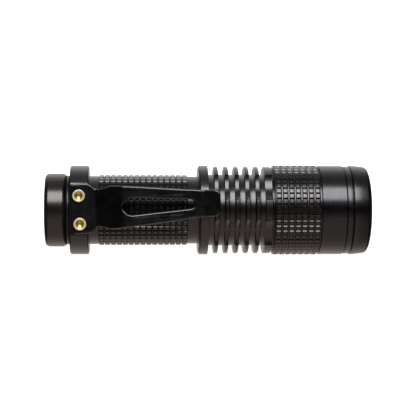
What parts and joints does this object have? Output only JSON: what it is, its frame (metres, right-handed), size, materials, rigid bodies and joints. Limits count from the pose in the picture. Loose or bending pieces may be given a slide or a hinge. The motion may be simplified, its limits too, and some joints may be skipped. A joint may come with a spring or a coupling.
{
  "type": "zoom flashlight",
  "caption": "Pocket flashlight with a black ribbed and knurled metal body, a head that slides and turns to zoom, a pocket clip and a tail button.",
  "frame": {"origin": "centre of the tail cap's rear face, on the torch's axis", "axes": "+X along the axis towards the head and the beam; +Z towards the pocket clip; Y across"},
  "size_m": [0.094, 0.0262, 0.0285],
  "materials": {
    "anodised": "satin black anodised",
    "clip_steel": "satin",
    "brass": "polished",
    "rubber": "matte",
    "lens_clear": "clear",
    "spring_steel": "bright",
    "pcb_white": "satin",
    "pcb_green": "satin",
    "plastic_black": "matte",
    "plastic_white": "matte",
    "phosphor": "matte",
    "cell_steel": "bright",
    "cell_core": "matte",
    "cell_wrap": "glossy",
    "chip_black": "matte",
    "capacitor": "satin",
    "lead_red": "satin",
    "lead_black": "satin"
  },
  "bodies": {
    "tube": {"battery_tube": "anodised", "cell_can": "cell_steel", "cell_core": "cell_core", "cell_sleeve": "cell_wrap", "cell_washer": "plastic_white", "cell_cap": "cell_steel", "led_pill": "brass", "driver_board": "pcb_green", "driver_contact": "brass", "driver_inductor": "chip_black", "driver_chip": "chip_black", "driver_capacitors": "capacitor", "led_star": "pcb_white", "led_emitter": "plastic_white", "led_phosphor": "phosphor", "led_dome": "lens_clear", "led_centring_ring": "plastic_black", "lead_positive": "lead_red", "lead_negative": "lead_black", "zoom_stop_ring": "spring_steel", "clip_base": "clip_steel", "clip_screws": "brass"},
    "clip_arm": {"clip_arm": "clip_steel"},
    "zoom_ring": {"zoom_seal": "rubber"},
    "head": {"head_sleeve": "anodised", "bezel": "anodised", "lens": "lens_clear", "lens_gasket": "rubber", "lens_retaining_ring": "anodised"},
    "seal_ring": {"tail_seal": "rubber"},
    "cap": {"tail_cap": "anodised", "switch_carrier": "plastic_black", "switch_housing": "plastic_black", "switch_base": "capacitor", "switch_terminals": "brass", "switch_board": "pcb_green", "switch_retaining_ring": "brass", "battery_spring": "spring_steel"},
    "button": {"button_boot": "rubber", "switch_plunger": "plastic_white", "switch_spring": "spring_steel"}
  },
  "joints": [
    {"name": "zoom_turn", "type": "hinge", "parent": "tube", "child": "zoom_ring", "pos_m": [0.0797, 0, 0], "axis": [1, 0, 0], "continuous": true},
    {"name": "zoom_slide", "type": "slide", "parent": "zoom_ring", "child": "head", "axis": [1, 0, 0], "range_m": [0, 0.0091]},
    {"name": "tail_cap_travel", "type": "slide", "parent": "tube", "child": "seal_ring", "axis": [-1, 0, 0], "range_m": [0, 0.004], "deforming": ["battery_spring"]},
    {"name": "tail_cap_turn", "type": "hinge", "parent": "seal_ring", "child": "cap", "pos_m": [0.0068, 0, 0], "axis": [-1, 0, 0], "range_deg": [0, 1442]},
    {"name": "button_press", "type": "slide", "parent": "cap", "child": "button", "axis": [1, 0, 0], "range_m": [0, 0.0014], "stiffness_N_per_m": 1800, "springref_m": -0.0005, "deforming": ["button_boot", "switch_spring"]},
    {"name": "clip_flex", "type": "hinge", "parent": "tube", "child": "clip_arm", "pos_m": [0.0149, 0.0005, 0.01145], "axis": [0.0436, -0.999, 0], "range_deg": [0, 4], "stiffness_Nm_per_rad": 3}
  ],
  "couplings": [
    {"joint": "tail_cap_turn", "follows": "tail_cap_travel", "rad_per_m": 6283.2}
  ]
}
